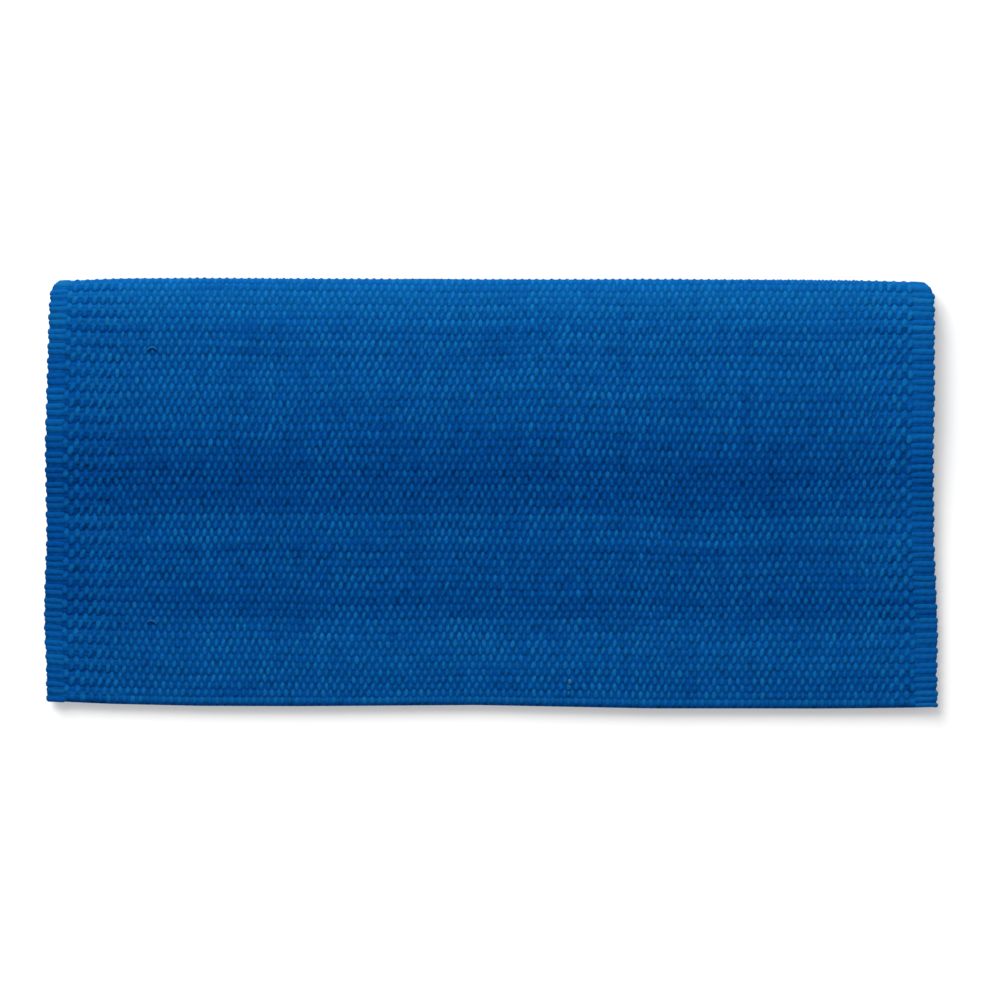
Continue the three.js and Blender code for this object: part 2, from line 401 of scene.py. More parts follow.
class FoldedCloth:
    """The folded cloth as a surface: a place along it and across it and a height give a point."""

    def __init__(self, size):
        self.front = size.folded_depth / MM / 2
        self.rest = size.thickness / MM / 2
        y, z = self.middle_line()
        arc = np.concatenate([[0], np.cumsum(np.hypot(np.diff(y), np.diff(z)))])
        self.length = arc[-1]
        self.arc = np.linspace(0, self.length, LINE_POINTS)
        self.y = np.interp(self.arc, arc, y)
        self.z = np.interp(self.arc, arc, z)
        self.heading_y = np.gradient(self.y, self.arc)
        self.heading_z = np.gradient(self.z, self.arc)

    def middle_line(self):
        """y and z of the middle of the cloth's thickness: lower layer, nose of the fold, upper layer."""
        centre_y = self.front - self.rest - NOSE_REACH
        centre_z = self.rest + NOSE_RISE / 2
        lower = np.linspace(LOWER_HEM_SHORT - self.front, centre_y, LOWER_POINTS, endpoint=False)
        nose_top = math.atan2(NOSE_RISE / 2, NOSE_TOP_SLOPE * NOSE_REACH)
        turn = np.linspace(-math.pi / 2, nose_top, NOSE_POINTS)
        y = [lower, centre_y + NOSE_REACH * np.cos(turn)]
        z = [np.full(lower.shape, self.rest), centre_z + NOSE_RISE / 2 * np.sin(turn)]
        before = (self.front - y[-1][-1], z[-1][-1], NOSE_TOP_SLOPE)
        t = np.linspace(0, 1, STRETCH_POINTS + 1)[1:]
        for place in UPPER_LAYER:
            reach = place[0] - before[0]
            leaving = (1 + 2 * t) * (1 - t) ** 2 * before[1] + t * (1 - t) ** 2 * reach * before[2]
            arriving = t**2 * (3 - 2 * t) * place[1] - t**2 * (1 - t) * reach * place[2]
            y.append(self.front - before[0] - reach * t)
            z.append(leaving + arriving)
            before = place
        return np.concatenate(y), np.concatenate(z)

    def from_fold(self, along):
        """Distance from the fold, seen from above."""
        return self.front - np.interp(along, self.arc, self.y)

    def from_hem(self, along):
        """Distance from the nearer hem, along the cloth."""
        return np.minimum(along, self.length - along)

    def point(self, along, across, height):
        """Points of the cloth, in millimetres. A place past a hem goes straight on."""
        inside = np.clip(along, 0, self.length)
        past = along - inside
        y, z, heading_y, heading_z = (
            np.interp(inside, self.arc, values)
            for values in (self.y, self.z, self.heading_y, self.heading_z)
        )
        reach = {
            side: read_table(SIDE_LINES, self.front - y, column)
            for column, side in enumerate(SIDES, start=1)
        }
        x = (across / NOMINAL_WIDTH + 0.5) * (reach["left"] + reach["right"]) - reach["left"]
        behind_nose = np.maximum(0, self.front - self.rest - y)
        for side, sign in SIDES.items():
            radius = CORNER_RADIUS[side]
            drawn_in = radius - np.sqrt(radius**2 - np.maximum(0, radius - behind_nose) ** 2)
            inset = (reach[side] - sign * x) / (CORNER_SHARE * SELVEDGE[side])
            x = x - sign * drawn_in * np.clip(1 - inset, 0, 1)
        swell = 0
        for wave_across, wave_along, rise, phase in SWELLS:
            swell = swell + rise * np.sin((x / wave_across + y / wave_along) * 2 * math.pi + phase)
        swell = swell * eased(self.rest, self.rest + NOSE_RISE / 2, z)
        short = np.clip(-y / self.front, 0, 1) * read_table(HEM_LINE, x)
        near_fold = np.clip((y - self.front) / FOLD_LINE_REACH + 1, 0, 1)
        short = short - near_fold * read_table(FOLD_LINE, x)
        return together(
            x + CENTRING[0],
            y + short + heading_y * past + heading_z * height + CENTRING[1],
            z + swell + heading_z * past - heading_y * height,
        )


class Weave:
    """Where the yarns lie on the cloth: weft rows along it, warp yarns across it, and how they wander."""

    def __init__(self, yarns):
        cloth = FoldedCloth(yarns)
        chance = np.random.default_rng(yarns.seed)
        self.yarns = yarns
        self.cloth = cloth
        self.picks = spaced(
            HEM_PICK_INSET,
            cloth.length - HEM_PICK_INSET,
            lambda along: read_table(PICK_PITCH, cloth.from_fold(along)),
        )
        self.warps = spaced(
            -EDGE + SELVEDGE["left"] + FIRST_WARP_INSET,
            EDGE - SELVEDGE["right"] - FIRST_WARP_INSET,
            lambda across: read_table(WARP_PITCH, across),
        )
        self.pick_pitch = np.gradient(self.picks)
        self.warp_pitch = np.gradient(self.warps)
        self.drift_along = unevenness(chance, *DRIFT_ALONG)
        self.drift_across = unevenness(chance, *DRIFT_ACROSS)
        self.pick_tint = chance.normal(0, 1, len(self.picks))
        self.warp_tint = chance.normal(0, 1, len(self.warps))
        self.pick_lift = chance.normal(0, 1, len(self.picks))
        self.streak_places = chance.uniform(0, STREAK_STRETCH, len(self.picks))
        self.streaks = unevenness(chance, *STREAKS)
        self.patches = unevenness(chance, *PATCHES)

    def tone(self, along, across):
        """How light the wool is at a place, with the painted light of the fold and its slopes, apart from the
        unevenness of the yarns.
        """
        away = self.cloth.from_fold(along)
        near = mound(away, *LIGHTER_PLACE) * eased(*LIGHTER_ACROSS, across)
        return read_table(PAINTED_LIGHT_AND_WOOL_BANDS, away) * (1 + LIGHTER * near)

    def shade(self, pick, along, across):
        """How light a float's wool is: the wool and painted light of its place, by weft row, in streaks along
        it and in patches.
        """
        streak = self.streaks(self.streak_places[pick], across)
        uneven = TINTS["pick"] * self.pick_tint[pick] + TINTS["streak"] * streak
        return self.tone(along, across) * (1 + uneven + TINTS["patch"] * self.patches(along, across))

    def relief(self, along, across):
        """Strength of the streaks that lift or sink the yarns."""
        return self.streaks(along * STREAKS_SHORTER, across)

    def pairing(self, pick, across):
        """1 for the first weft row of each pair beside a selvedge, -1 for the second one, 0 in the field."""
        left = across < 0
        first = np.where(left, pick, pick + len(self.warps)) % 2 == 0
        recovered = PAIRS_WEAKER * eased(*PAIRS_RECOVER, from_edge(across))
        beside = eased(*PAIRS_FROM_EDGE, from_edge(across)) * (1 - PAIRS_WEAKER + recovered)
        strength = np.where(left, PAIR_STRENGTH["left"], PAIR_STRENGTH["right"])
        return np.where(first, 1, -1) * beside * strength

    def wander(self, along, across):
        """The yarns' places with their drift, which fades out at the hems and the selvedges."""
        held = eased(*DRIFT_FROM_HEM, self.cloth.from_hem(along))
        calm = eased(*DRIFT_FROM_EDGE, from_edge(across))
        return (
            along + held * self.drift_along(along, across),
            across + calm * self.drift_across(along, across),
        )


def new_object(name, shown):
    """An object in the scene with the given mesh, light or camera."""
    thing = bpy.data.objects.new(name, shown)
    bpy.context.scene.collection.objects.link(thing)
    return thing


def outward(points, faces):
    """The faces, turned over if the closed form that they make is inside out."""
    volume = 0
    for group in faces:
        first = points[group[:, 0]]
        for k in range(1, group.shape[1] - 1):
            volume += np.sum(first * np.cross(points[group[:, k]], points[group[:, k + 1]]))
    return faces if volume > 0 else [group[:, ::-1] for group in faces]


def ring_faces(rings, around, first=0):
    """Faces from each ring of points to the next one. The first ring starts at the first point."""
    start = first + np.arange(rings - 1)[:, None] * around
    here = np.arange(around)
    after = (here + 1) % around
    corners = (start + here, start + after, start + around + after, start + around + here)
    return together(*corners).reshape(-1, 4)


def tube_faces(rings, around):
    """Faces of a tube of rings of points, closed at both ends."""
    ring = np.arange(around)
    return [ring_faces(rings, around), np.stack([ring[::-1], (rings - 1) * around + ring])]


def sheet_faces(rows, columns):
    """Faces of a closed sheet. Each row is a left tip, the outer face, a right tip and the inner face."""
    size = 2 * columns + 2
    last = (rows - 1) * size
    outer = np.arange(1, columns)
    cap = together(outer, outer + 1, size - outer - 1, size - outer)
    tip_cap = np.array([[0, 1, size - 1], [columns, columns + 1, columns + 2]])
    caps = [np.concatenate([group[:, ::-1], group + last]) for group in (cap, tip_cap)]
    return [ring_faces(rows, size), *caps]


class Parts:
    """Gathers the points, faces and yarn values of the forms that make one piece."""

    def __init__(self):
        self.points = []
        self.faces = []
        self.places = []
        self.values = []
        self.count = 0

    def add(self, points, faces, places, values):
        """Adds a form for each set of points. The faces are one form's, the places run along and round it."""
        number = len(points)
        flat = points.reshape(-1, 3)
        size = len(flat) // number
        starts = self.count + np.arange(number)[:, None, None] * size
        for group in outward(flat[:size], faces):
            self.faces.append((group + starts).reshape(-1, group.shape[1]))
        self.points.append(flat)
        self.places.append(np.broadcast_to(places, (*points.shape[:-1], 2)).reshape(-1, 2))
        self.values.append(np.broadcast_to(values, points.shape).reshape(-1, 3))
        self.count += len(flat)

    def add_yarns(self, points, faces, travelled, around, shade, crest, shift):
        """Adds yarns, each shifted by chance along its twist and its fibres."""
        places = together(travelled / YARN_UNIT + YARN_SHIFT * shift, around)
        self.add(points, faces, places, together(shade, crest, shift))

    def piece(self, name, material):
        """The Blender object, in metres, with its yarn coordinates, yarn values and finish."""
        mesh = bpy.data.meshes.new(name)
        points = np.concatenate(self.points) * MM
        corners = np.concatenate([group.ravel() for group in self.faces])
        sizes = np.concatenate([np.full(len(group), group.shape[1]) for group in self.faces])
        mesh.vertices.add(len(points))
        mesh.vertices.foreach_set("co", points.ravel())
        mesh.loops.add(len(corners))
        mesh.loops.foreach_set("vertex_index", corners.astype(np.int32))
        mesh.polygons.add(len(sizes))
        mesh.polygons.foreach_set("loop_start", (np.cumsum(sizes) - sizes).astype(np.int32))
        mesh.update(calc_edges=True)
        places = np.concatenate(self.places)
        layer = mesh.uv_layers.new(name="yarn")
        layer.uv.foreach_set("vector", places[corners].ravel())
        values = np.concatenate(self.values)
        values = np.column_stack([values, np.ones(len(values))])
        colours = mesh.color_attributes.new("yarn_values", "FLOAT_COLOR", "POINT")
        colours.data.foreach_set("color", values.ravel())
        if mesh.validate():
            raise RuntimeError(f"{name}: the mesh had faults")
        mesh.shade_smooth()
        mesh.materials.append(material)
        piece = new_object(name, mesh)
        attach(piece, "root")
        return piece


def float_form():
    """One warp float from -1 to 1 along and across and 0 to 1 high: its points, faces and places round it."""
    width = len(FLOAT_SECTION)
    rings = len(FLOAT_STATIONS)
    points = [(-1, 0, 0)]
    for place, wide, tall in FLOAT_STATIONS:
        points.extend((place, across * wide, high * tall) for across, high in FLOAT_SECTION)
    points.append((1, 0, 0))
    last = len(points) - 1
    here = np.arange(width)
    after = (here + 1) % width
    ends = together(0, 1 + after, 1 + here), together(last, last - width + here, last - width + after)
    faces = [ring_faces(rings, width, first=1), np.stack(ends, axis=1).reshape(-1, 3)]
    around = np.concatenate([[0.5], np.tile(np.linspace(0, 1, width), rings), [0.5]])
    return np.array(points), faces, around


def lay_floats(parts, weave, picks, warps, face):
    """Warp floats over the given weft rows and warp yarns, on the outer face (1) or the inner one (-1)."""
    cloth, yarns = weave.cloth, weave.yarns
    form, faces, around = float_form()
    outer = face > 0
    step = SEED_STEPS["first_row"] * int(picks[0]) + (0 if outer else SEED_STEPS["inside"])
    chance = np.random.default_rng(yarns.seed + step)
    pick, warp = np.meshgrid(picks, warps, indexing="ij")
    over = (pick + warp) % 2 == (0 if outer else 1)
    pick, warp = pick[over][:, None], warp[over][:, None]
    jitter = jitters(chance, FLOAT_SPREAD, pick.shape)
    along, across = weave.wander(weave.picks[pick], weave.warps[warp])
    side_band = eased(*SIDE_BAND, from_edge(across))
    relief = weave.relief(along, across)
    paired = weave.pairing(pick, across)
    second = np.maximum(0, -paired)
    half_length = weave.pick_pitch[pick] * yarns.float_length / 2 * (1 + jitter("length"))
    half_length = half_length * (1 + PAIR_LONGER * np.abs(paired) + SECOND_LONGER * second)
    half_width = weave.warp_pitch[warp] * yarns.float_width / 2 * (1 + jitter("width"))
    half_width = half_width * (1 - SIDE_NARROWER * side_band) * (1 + FIRST_WIDER * paired)
    lean = -face * (np.tan(yarns.lean + jitter("lean")) + SECOND_LEANS * second)
    sunk = np.abs(jitter("depth")) + SUNK_BY_ROW * np.abs(weave.pick_lift[pick])
    sunk = sunk + SUNK_IN_STREAK * (relief > STRONG_STREAK)
    crest = cloth.rest - np.minimum(sunk, MOST_SUNK)
    base = cloth.rest - yarns.float_rise / MM
    along = along + jitter("along") + PAIR_SHIFT * paired
    across = across + jitter("across")
    travelled = form[:, 0] * half_length
    points = cloth.point(
        along + travelled,
        across + form[:, 1] * half_width + lean * travelled,
        face * (base + form[:, 2] * (crest - base)),
    )
    shift = chance.uniform(0, 1, pick.shape)
    uneven = 1 + TINTS["warp"] * weave.warp_tint[warp] + jitter("shade")
    shade = weave.shade(pick, along, across) * uneven
    # The float's height is its crest, by which the wool paints shade towards the float's foot
    parts.add_yarns(points, faces, travelled, around, shade, form[:, 2], shift)


def wrapped_yarn(path, half_height, round_points):
    """A yarn of half width 1 that wraps an edge, mirrored below.

    Gives its insets, sideways places and heights, its faces, its places along and round it, and its crest.
    """
    path = np.array(path, dtype=float)
    path = np.concatenate([path, path[-2::-1] * (1, -1, 1)])
    inset, height, full = path.T[..., None]
    steps = np.linalg.norm(np.diff(path[:, :2], axis=0), axis=1)
    travelled = np.concatenate([[0], np.cumsum(steps)])[:, None]
    run = np.gradient(path[:, :2], axis=0)
    run = run / np.linalg.norm(run, axis=1, keepdims=True)
    angle = np.arange(round_points) * 2 * math.pi / round_points
    lift = half_height * np.sin(angle) * full
    form = (inset + run[:, 1:] * lift, np.cos(angle) * full, height - run[:, :1] * lift)
    # The crest: 0 under the yarn to 1 on its top, by which the wool paints shade on the yarn's underside
    crest = np.clip(0.5 + 0.5 * np.sin(angle), 0, 1)
    return form, tube_faces(len(path), round_points), travelled, np.abs(angle / math.pi - 1), crest


def lay_ribs(parts, weave, side):
    """The ribs of one selvedge. The weft turns round the edge between every second pair of rows."""
    cloth, sign, left = weave.cloth, SIDES[side], side == "left"
    chance = np.random.default_rng(weave.yarns.seed + SEED_STEPS[side])
    path = [(share * SELVEDGE[side] + extra, height, full) for share, extra, height, full in RIB_PATH]
    form, faces, travelled, around, crest = wrapped_yarn(path, RIB_HALF_HEIGHT, RIB_POINTS)
    inset, sideways, height = form
    places = weave.picks + weave.pick_pitch * RIB_SHIFT[side]
    at_hem = HEM_RIB_INSET if left else cloth.length - HEM_RIB_INSET
    places = np.insert(places, 0 if left else len(places), at_hem)[:, None, None]
    jitter = jitters(chance, RIB_SPREAD, places.shape)
    turns = np.arange(len(places))[:, None, None] + (0 if left else len(weave.warps))
    after_turn = turns % 2 == 0
    tipness = eased(*RIB_TIP, inset)
    middle, _ = weave.wander(places, sign * EDGE)
    middle = np.clip(middle, HEM_RIB_INSET, cloth.length - HEM_RIB_INSET)
    half_width = np.gradient(places, axis=0) * RIB_HALF_WIDTH * (1 + jitter("width"))
    pull = np.where(after_turn, -1, 1) * (-RIB_PULL - TIP_PULL * tipness * (1 + jitter("pull")))
    bend = jitter("bend") * np.sin(inset / SELVEDGE[side] * math.pi)
    nick = np.where(after_turn, 0, TIP_NICK) + np.abs(jitter("nick"))
    points = cloth.point(
        middle + pull + bend + sideways * half_width,
        sign * (EDGE - (inset + nick * tipness)),
        height * (1 - np.abs(jitter("height"))),
    )
    shift = chance.uniform(0, 1, places.shape)
    shade = RIB_SHADE * weave.tone(middle, sign * EDGE) * (1 + jitter("shade"))
    # Less painted shade on the ribs' sides near the fold
    soft = LESS_PAINTED_SHADE * eased(*NEAR_FOLD, cloth.from_fold(middle))
    parts.add_yarns(points, faces, travelled, around, shade, crest + soft * (1 - crest), shift)


def lay_hem_loops(parts, weave, hem):
    """The warp yarns that wrap the last weft row of the upper or the lower hem."""
    cloth, upper = weave.cloth, hem == "upper"
    chance = np.random.default_rng(weave.yarns.seed + SEED_STEPS[hem])
    form, faces, travelled, around, crest = wrapped_yarn(HEM_PATH, HEM_HALF_HEIGHT, HEM_POINTS)
    inset, sideways, height = form
    last_pick = len(weave.picks) - 1 if upper else 0
    over = (np.arange(len(weave.warps)) + last_pick) % 2 == 0
    across, pitch = (values[over][:, None, None] for values in (weave.warps, weave.warp_pitch))
    jitter = jitters(chance, HEM_SPREAD, across.shape)
    half_width = pitch * HEM_HALF_WIDTH * (1 + jitter("width"))
    points = cloth.point(
        cloth.length - inset if upper else inset,
        across + jitter("across") + sideways * half_width,
        height * (1 - np.abs(jitter("height"))),
    )
    shift = chance.uniform(0, 1, across.shape)
    shade = HEM_SHADE + jitter("shade")
    # Painted shade on the yarns where they turn down round the hem's end
    crest = crest * eased(*HEM_PAINTED_SHADE, inset)
    parts.add_yarns(points, faces, travelled, around, shade, crest, shift)


def ground_rows(weave):
    """Rows of the ground along the cloth: place, ridge, how full it is, weft row."""
    length, last = weave.cloth.length, len(weave.picks) - 1
    rows = [(inset, ridge, full, 0) for inset, ridge, full in GROUND_AT_HEM]
    for pick, (place, after) in enumerate(zip(weave.picks, weave.picks[1:])):
        rows.append((place, 1, 1, pick))
        for share, ridge in GROUND_BETWEEN:
            rows.append((place + share * (after - place), ridge, 1, pick + (share > 0.5)))
    rows.append((weave.picks[-1], 1, 1, last))
    rows.extend((length - inset, ridge, full, last) for inset, ridge, full in GROUND_AT_HEM[::-1])
    return np.array(rows).T[..., None]


def ground_columns():
    """Places across of the ground's columns, and which of them are in the field between the selvedges."""
    left = -EDGE + SELVEDGE["left"] + FIELD_MARGIN
    right = EDGE - SELVEDGE["right"] - FIELD_MARGIN
    field = np.linspace(left, right, FIELD_COLUMNS)
    beside_tip = EDGE - np.array(BESIDE_TIP)
    outside = ([left - FIELD_STEP], [right + FIELD_STEP])
    across = np.concatenate([-beside_tip, outside[0], field, outside[1], beside_tip[::-1]])
    return across, (across >= left) & (across <= right)


def sheet_row(outer, inner, left_tip, right_tip):
    """Values along each row of the sheet: left tip, outer face, right tip and back on the inner face."""
    return np.concatenate([left_tip, outer, right_tip, inner[:, ::-1]], axis=1)


def lay_ground(parts, weave):
    """The ground cloth: one closed sheet that carries the warp, with a ridge for each weft row."""
    cloth = weave.cloth
    along, ridge, full, pick = ground_rows(weave)
    pick = pick.astype(int)
    across, in_field = ground_columns()
    paired = weave.pairing(pick, across)
    place, placed = weave.wander(along, across)
    fold_lift = FOLD_LIFT * mound(along, cloth.length / 2, FOLD_LIFT_REACH)
    lift = STREAK_LIFT * np.maximum(0, weave.relief(place, placed) - LIFTING_STREAK)
    crest = cloth.rest - weave.yarns.weft_depth / MM
    low = crest - GROUND_TROUGH + PAIR_FILLS * paired
    level = np.where(in_field, low + ridge * (crest - low + lift + fold_lift), UNDER_THE_RIBS)
    level = level * (full * np.where(from_edge(across) < THIN_EDGE, THIN_SHARE, 1))
    place = place + PAIR_SHIFT * paired * ridge
    tips = (cloth.point(along, np.full((1, 1), sign * (EDGE - GROUND_TIP)), 0) for sign in (-1, 1))
    points = sheet_row(cloth.point(place, placed, level), cloth.point(place, placed, -level), *tips)

    light = FOLD_LIGHT * fold_lift * ridge + PAIR_LIGHT * np.maximum(0, paired) * (1 - ridge)
    away = cloth.from_hem(along)
    light = light + HEM_LIGHT * eased(*HEM_LIGHT_END, away) * eased(*HEM_LIGHT_START, away)
    light = np.where(in_field, light, RIB_LIGHT)
    # The sheet's tips get full painted shade
    shaded_tips = np.zeros(along.shape)
    light = sheet_row(light, light, shaded_tips, shaded_tips)
    shade = weave.tone(along, across) * (1 + TINTS["ground"] * weave.pick_tint[pick])
    # Painted light in the trough within a pair, painted shade in the trough between pairs
    shade = shade * (1 + PAIR_PAINTED_SHADE * paired * (1 - ridge))
    shade = sheet_row(shade, shade, shade[:, :1], shade[:, -1:])
    spread = sheet_row(across[None], across[None], [[-EDGE]], [[EDGE]])
    parts.add(
        points[None],
        sheet_faces(len(along), len(across)),
        together(spread / YARN_UNIT, along / GROUND_UNIT),
        together(shade, light, pick % GROUND_CHANCES / GROUND_CHANCES),
    )


def lay_loose_fibres(parts, cloth):
    """A few loose fibres that lie on the upper face in small arches."""
    angle = np.arange(FIBRE_POINTS) * 2 * math.pi / FIBRE_POINTS
    t = np.linspace(0, math.pi, FIBRE_RINGS)
    faces = tube_faces(FIBRE_RINGS, FIBRE_POINTS)
    upper = cloth.arc[cloth.arc > cloth.length / 2 + PAST_FOLD]
    for x, y, reach, rise, thickness, turn, paleness in LOOSE_FIBRES:
        middle = np.interp(cloth.front - y, cloth.from_fold(upper), upper)
        side, up = reach / 2 * np.cos(t), rise * np.sin(t)
        turned = math.radians(turn)
        across = x + side * math.cos(turned) - up * math.sin(turned)
        along = middle - side * math.sin(turned) - up * math.cos(turned)
        run = np.stack([np.gradient(across), np.gradient(along)], axis=1)
        run = run / np.linalg.norm(run, axis=1, keepdims=True)
        radius = thickness / 2 * (FIBRE_TIP + (1 - FIBRE_TIP) * np.sin(t) ** 0.5)[:, None]
        points = cloth.point(
            along[:, None] - run[:, :1] * radius * np.cos(angle),
            across[:, None] + run[:, 1:] * radius * np.cos(angle),
            cloth.rest - FIBRE_SUNK + FIBRE_ARCH * np.sin(t)[:, None] + radius * np.sin(angle),
        )
        parts.add(points[None], faces, together(t[:, None], angle / FIBRE_UNIT), (1, 1, paleness))


def new_group(name, inputs, outputs):
    """A shader node group with its named inputs and outputs, each with the value or kind given."""
    tree = bpy.data.node_groups.new(name, "ShaderNodeTree")
    for label, value in inputs.items():
        kind = "NodeSocketColor" if isinstance(value, tuple) else "NodeSocketFloat"
        socket = tree.interface.new_socket(label, in_out="INPUT", socket_type=kind)
        socket.default_value = value
    for label, kind in outputs.items():
        tree.interface.new_socket(label, in_out="OUTPUT", socket_type=kind)
    return tree, tree.nodes.new("NodeGroupInput").outputs, tree.nodes.new("NodeGroupOutput").inputs


def set_inputs(node, values):
    """Sets the named inputs of a node."""
    for label, value in values.items():
        node.inputs[label].default_value = value


def feed(tree, socket, value):
    """Links a socket to the value, or sets the value on it."""
    if isinstance(value, bpy.types.NodeSocket):
        tree.links.new(value, socket)
    else:
        socket.default_value = value


def maths(tree, operation, *values):
    """The result of one Math node."""
    node = tree.nodes.new("ShaderNodeMath")
    node.operation = operation
    for socket, value in zip(node.inputs, values):
        feed(tree, socket, value)
    return node.outputs["Value"]


def clamped(tree, value):
    """The value, kept from 0 to 1."""
    return maths(tree, "MINIMUM", maths(tree, "MAXIMUM", value, 0.0), 1.0)


def blended(tree, factor, first, second, kind="MIX"):
    """The colour of one Mix node."""
    node = tree.nodes.new("ShaderNodeMix")
    node.data_type = "RGBA"
    node.blend_type = kind
    feed(tree, node.inputs["Factor"], factor)
    feed(tree, node.inputs["A"], first)
    feed(tree, node.inputs["B"], second)
    return node.outputs["Result"]


def noise(tree, vector, scale, detail, roughness):
    """The strength of one Noise Texture node."""
    node = tree.nodes.new("ShaderNodeTexNoise")
    tree.links.new(vector, node.inputs["Vector"])
    set_inputs(node, {"Scale": scale, "Detail": detail, "Roughness": roughness})
    return node.outputs["Fac"]


def yarn_values(tree):
    """Shade of the wool with its painted light, height on the yarn, which sets its painted shade, and chance
    number of the yarn, as stored on the mesh.
    """
    node = tree.nodes.new("ShaderNodeAttribute")
    node.attribute_name = "yarn_values"
    split = tree.nodes.new("ShaderNodeSeparateColor")
    tree.links.new(node.outputs["Color"], split.inputs["Color"])
    return split.outputs["Red"], split.outputs["Green"], split.outputs["Blue"]


def yarn_places(tree):
    """Places along and round the yarn."""
    node = tree.nodes.new("ShaderNodeUVMap")
    node.uv_map = "yarn"
    split = tree.nodes.new("ShaderNodeSeparateXYZ")
    tree.links.new(node.outputs["UV"], split.inputs["Vector"])
    return split.outputs["X"], split.outputs["Y"]


def twisted_yarn_group():
    """Relief of a spun yarn: twisted plies with finer fibres over them."""
    tree, given, result = new_group(
        "Twisted Yarn",
        {"Turns": 0.8, "Plies": 1.0, "Ply Depth": 0.5, "Fibre Depth": 0.5},
        {"Height": "NodeSocketFloat", "Fibre": "NodeSocketFloat"},
    )
    along, around = yarn_places(tree)
    _, _, chance = yarn_values(tree)
    turned = maths(tree, "MULTIPLY", along, given["Turns"])
    twist = maths(tree, "ADD", turned, maths(tree, "MULTIPLY", around, given["Plies"]))
    ply = maths(tree, "SINE", maths(tree, "MULTIPLY", twist, 2 * math.pi))
    join = tree.nodes.new("ShaderNodeCombineXYZ")
    feed(tree, join.inputs["X"], maths(tree, "MULTIPLY", turned, FIBRES_ALONG))
    leaning = maths(tree, "SUBTRACT", around, turned)
    feed(tree, join.inputs["Y"], maths(tree, "MULTIPLY", leaning, FIBRES_ROUND))
    feed(tree, join.inputs["Z"], maths(tree, "MULTIPLY", chance, FIBRES_APART))
    fibre = noise(tree, join.outputs["Vector"], scale=2.2, detail=3, roughness=0.6)
    ply_height = maths(tree, "MULTIPLY", ply, given["Ply Depth"])
    fibre_height = maths(tree, "MULTIPLY", fibre, given["Fibre Depth"])
    tree.links.new(maths(tree, "ADD", ply_height, fibre_height), result["Height"])
    tree.links.new(fibre, result["Fibre"])
    return tree


def dyed_wool_and_painted_shade_group():
    """Colour of dyed wool: lighter and darker yarns, painted shade deep in the hollows with darker painted
    pits, a greener dye where the painted light is strong, faint patches and fibre streaks.
    """
    tree, given, result = new_group(
        "Dyed Wool And Painted Shade",
        {
            "Wool Colour": (0.004, 0.08, 0.3, 1),
            "Second Dye": (0.004, 0.09, 0.28, 1),
            "Painted Hollow Shade": (0.001, 0.03, 0.15, 1),
            "Painted Pit Shade": 0.5,
            "Patch Contrast": 0.08,
            "Fibre Contrast": 0.3,
            "Fibre": 0.5,
        },
        {"Colour": "NodeSocketColor"},
    )
    shade, crest, chance = yarn_values(tree)
    # Lighter wool, its painted light included, turns towards the greener second dye; chance turns some yarns
    # further
    lighter = maths(tree, "MULTIPLY_ADD", shade, *SECOND_DYE_BY_TONE_AND_LIGHT)
    greener = clamped(tree, maths(tree, "MULTIPLY_ADD", chance, DYE_CHANCE, lighter))
    dye = blended(tree, greener, given["Wool Colour"], given["Second Dye"])
    # Lighter wool lifts the painted shade in its hollows
    lit = maths(tree, "MULTIPLY_ADD", maths(tree, "MAXIMUM", lighter, 0.0), LIGHT_IN_PAINTED_HOLLOWS, crest)
    place = tree.nodes.new("ShaderNodeTexCoord").outputs["Object"]
    # Painted pits: spots of deeper painted shade in the hollows
    painted_pits = noise(tree, place, scale=140, detail=1, roughness=0.5)
    painted_pits = clamped(tree, maths(tree, "MULTIPLY_ADD", painted_pits, *PAINTED_PITS))
    painted_pits = maths(tree, "MULTIPLY", painted_pits, given["Painted Pit Shade"])
    hollow_shade = blended(tree, painted_pits, given["Painted Hollow Shade"], (0, 0, 0, 1))
    # Painted shade: from the colour of the hollows' shade to the dye, by the crest
    colour = blended(tree, maths(tree, "MINIMUM", lit, 1.0), hollow_shade, dye)
    patch = noise(tree, place, scale=14, detail=3, roughness=0.55)
    strength = 1.0
    for value, contrast in ((patch, given["Patch Contrast"]), (given["Fibre"], given["Fibre Contrast"])):
        uneven = maths(tree, "MULTIPLY", maths(tree, "SUBTRACT", value, 0.5), contrast)
        strength = maths(tree, "ADD", uneven, strength)
    strength = maths(tree, "MULTIPLY", strength, shade)
    grey = tree.nodes.new("ShaderNodeCombineColor")
    for channel in ("Red", "Green", "Blue"):
        feed(tree, grey.inputs[channel], strength)
    colour = blended(tree, 1.0, colour, grey.outputs["Color"], "MULTIPLY")
    tree.links.new(colour, result["Colour"])
    return tree


